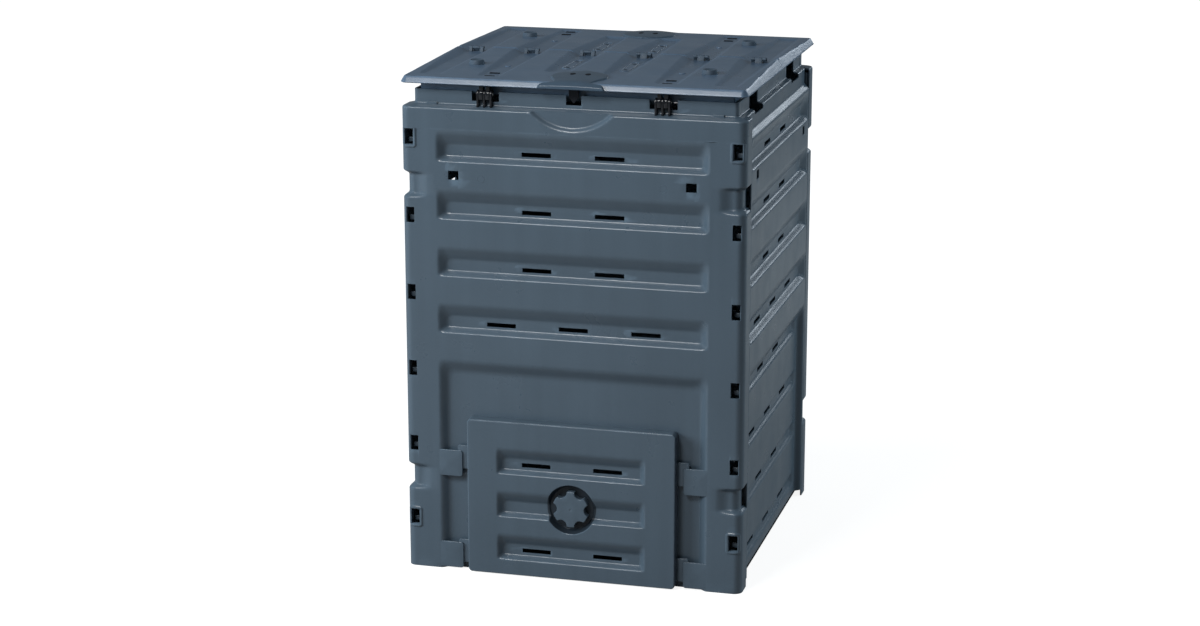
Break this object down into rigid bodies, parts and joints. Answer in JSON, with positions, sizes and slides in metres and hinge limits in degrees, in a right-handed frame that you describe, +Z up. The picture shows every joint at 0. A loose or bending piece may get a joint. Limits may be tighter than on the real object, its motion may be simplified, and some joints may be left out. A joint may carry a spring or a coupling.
{
  "type": "compost bin with lid",
  "caption": "Square plastic garden compost bin with louvred walls, a folding two-piece lid and a lift-out door with a turning knob.",
  "frame": {"origin": "centre of the square base, on the ground", "axes": "+Z up; -Y is the front, where the door is; +X is to the right of someone facing the door"},
  "size_m": [0.702, 0.72, 1.0308],
  "materials": {
    "wall_plastic": "satin moulded",
    "lid_plastic": "satin moulded, fine grain",
    "door_plastic": "satin moulded",
    "knob_plastic": "satin moulded",
    "dark_plastic": "matt moulded",
    "rod_plastic": "smooth",
    "pin_plastic": "smooth",
    "screw_steel": "zinc plated"
  },
  "bodies": {
    "bin": {"front_panel": "wall_plastic", "rear_panel": "wall_plastic", "right_side_panel": "wall_plastic", "left_side_panel": "wall_plastic", "front_hinge_brackets": "dark_plastic", "rear_hinge_brackets": "dark_plastic", "front_hinge_rods": "rod_plastic", "rear_hinge_rods": "rod_plastic"},
    "lid_rear": {"lid_rear_half": "lid_plastic", "rear_lid_claws": "dark_plastic", "rear_lid_tongue": "dark_plastic", "rear_lid_buttons": "lid_plastic", "lid_fold_pins": "pin_plastic"},
    "lid_front": {"lid_front_half": "lid_plastic", "front_lid_claws": "dark_plastic", "front_lid_tongue": "dark_plastic", "front_lid_buttons": "lid_plastic"},
    "door": {"door": "door_plastic"},
    "knob": {"door_knob": "knob_plastic", "latch_arm": "dark_plastic", "latch_washer": "screw_steel", "latch_screw": "screw_steel"}
  },
  "joints": [
    {"name": "lid_swing", "type": "hinge", "parent": "bin", "child": "lid_rear", "pos_m": [0, 0.33, 0.986], "axis": [-1, 0, 0], "range_deg": [0, 100]},
    {"name": "lid_fold", "type": "hinge", "parent": "lid_rear", "child": "lid_front", "pos_m": [0, 0, 1.024], "axis": [-1, 0, 0], "range_deg": [0, 100]},
    {"name": "door_lift", "type": "slide", "parent": "bin", "child": "door", "axis": [0, 0, 1], "range_m": [0, 0.08]},
    {"name": "knob_turn", "type": "hinge", "parent": "door", "child": "knob", "pos_m": [0, -0.35, 0.152], "axis": [0, 1, 0], "range_deg": [0, 90]}
  ]
}
